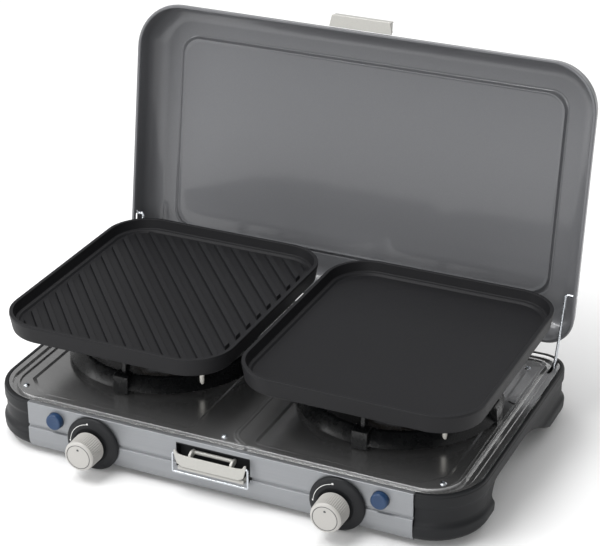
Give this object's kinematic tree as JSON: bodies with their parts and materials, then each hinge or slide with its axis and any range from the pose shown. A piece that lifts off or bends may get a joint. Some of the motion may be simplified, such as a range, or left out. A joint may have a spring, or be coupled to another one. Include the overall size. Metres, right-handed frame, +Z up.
{
  "type": "camping stove",
  "caption": "Portable two-burner gas stove with lift-off ribbed and flat griddles on pan supports, a folding lid on wire stays, turning knobs, push igniters and a front latch.",
  "frame": {"origin": "middle of the bounding box's footprint, on the surface the feet stand on", "axes": "+Z up, -Y towards the user (the knob side), +X to the user's right"},
  "size_m": [0.606, 0.4802, 0.4386],
  "materials": {
    "black_plastic": "fine moulded texture",
    "rubber": "matt",
    "front_panel": "satin anodised",
    "screw_steel": "bright",
    "stainless": "brushed",
    "galvanised": "galvanised",
    "cast_alloy": "as cast",
    "brass": "machined",
    "gas_tube": "drawn tube",
    "black_enamel": "vitreous enamel",
    "non_stick": "matt non-stick coating on cast aluminium",
    "silver_paint": "satin metallic paint",
    "pale_plastic": "satin",
    "bright_wire": "bright plated",
    "knob_plastic": "satin",
    "blue_plastic": "gloss",
    "ceramic": "glazed ceramic",
    "lead_sleeve": "silicone sleeve"
  },
  "bodies": {
    "base": {"bottom_tray": "galvanised", "burner_body_left": "cast_alloy", "burner_body_right": "cast_alloy", "burner_bracket_left": "galvanised", "burner_bracket_right": "galvanised", "burner_cap_left": "brass", "burner_cap_right": "brass", "electrode_left": "ceramic", "electrode_right": "ceramic", "foot_front_left": "rubber", "foot_front_right": "rubber", "foot_rear_left": "rubber", "foot_rear_right": "rubber", "front_panel": "front_panel", "gas_inlet": "brass", "gas_rail": "gas_tube", "hob": "stainless", "hob_screw_front_centre": "screw_steel", "hob_screw_front_left": "screw_steel", "hob_screw_front_right": "screw_steel", "hob_screw_rear_centre": "screw_steel", "hob_screw_rear_left": "screw_steel", "hob_screw_rear_right": "screw_steel", "igniter_body_left": "black_plastic", "igniter_body_right": "black_plastic", "ignition_lead_left": "lead_sleeve", "ignition_lead_right": "lead_sleeve", "injector_left": "brass", "injector_right": "brass", "knob_bezel_left": "black_plastic", "knob_bezel_right": "black_plastic", "latch_hinge_bar": "bright_wire", "latch_recess": "black_plastic", "rear_panel": "black_plastic", "side_cap_left": "black_plastic", "side_cap_right": "black_plastic", "valve_body_left": "brass", "valve_body_right": "brass"},
    "knob_left": {"knob_left": "knob_plastic", "valve_stem_left": "brass"},
    "igniter_left": {"igniter_button_left": "blue_plastic"},
    "support_left": {"pan_support_left": "black_enamel"},
    "knob_right": {"knob_right": "knob_plastic", "valve_stem_right": "brass"},
    "igniter_right": {"igniter_button_right": "blue_plastic"},
    "support_right": {"pan_support_right": "black_enamel"},
    "griddle_left": {"griddle_ribbed": "non_stick"},
    "griddle_right": {"griddle_flat": "non_stick"},
    "stays": {"lid_stay_left": "bright_wire", "lid_stay_right": "bright_wire"},
    "lid": {"lid": "silver_paint", "lid_catch": "pale_plastic"},
    "latch": {"latch_plate": "pale_plastic"},
    "bail": {"latch_bail": "bright_wire"}
  },
  "joints": [
    {"name": "knob_left_turn", "type": "hinge", "parent": "base", "child": "knob_left", "pos_m": [-0.1525, -0.23312, 0.0345], "axis": [0, -1, 0], "range_deg": [0, 180]},
    {"name": "igniter_left_press", "type": "slide", "parent": "base", "child": "igniter_left", "axis": [0, 1, 0], "range_m": [0, 0.004], "stiffness_N_per_m": 1500, "springref_m": -0.002},
    {"name": "support_left_lift", "type": "slide", "parent": "base", "child": "support_left", "axis": [0, 0, 1], "range_m": [0, 0.04]},
    {"name": "griddle_left_lift", "type": "slide", "parent": "support_left", "child": "griddle_left", "axis": [0, 0, 1], "range_m": [0, 0.06]},
    {"name": "knob_right_turn", "type": "hinge", "parent": "base", "child": "knob_right", "pos_m": [0.1525, -0.23312, 0.0345], "axis": [0, -1, 0], "range_deg": [0, 180]},
    {"name": "igniter_right_press", "type": "slide", "parent": "base", "child": "igniter_right", "axis": [0, 1, 0], "range_m": [0, 0.004], "stiffness_N_per_m": 1500, "springref_m": -0.002},
    {"name": "support_right_lift", "type": "slide", "parent": "base", "child": "support_right", "axis": [0, 0, 1], "range_m": [0, 0.04]},
    {"name": "griddle_right_lift", "type": "slide", "parent": "support_right", "child": "griddle_right", "axis": [0, 0, 1], "range_m": [0, 0.06]},
    {"name": "stay_slide", "type": "slide", "parent": "base", "child": "stays", "axis": [0, 1, 0], "range_m": [-0.016, 0]},
    {"name": "lid_fold", "type": "hinge", "parent": "stays", "child": "lid", "pos_m": [0, 0.16811, 0.14497], "axis": [-1, 0, 0], "range_deg": [-90, 0]},
    {"name": "latch_tilt", "type": "hinge", "parent": "base", "child": "latch", "pos_m": [0, -0.20812, 0.033], "axis": [1, 0, 0], "range_deg": [0, 35]},
    {"name": "bail_swing", "type": "hinge", "parent": "latch", "child": "bail", "pos_m": [0, -0.21102, 0.052], "axis": [1, 0, 0], "range_deg": [-150, 0]}
  ]
}
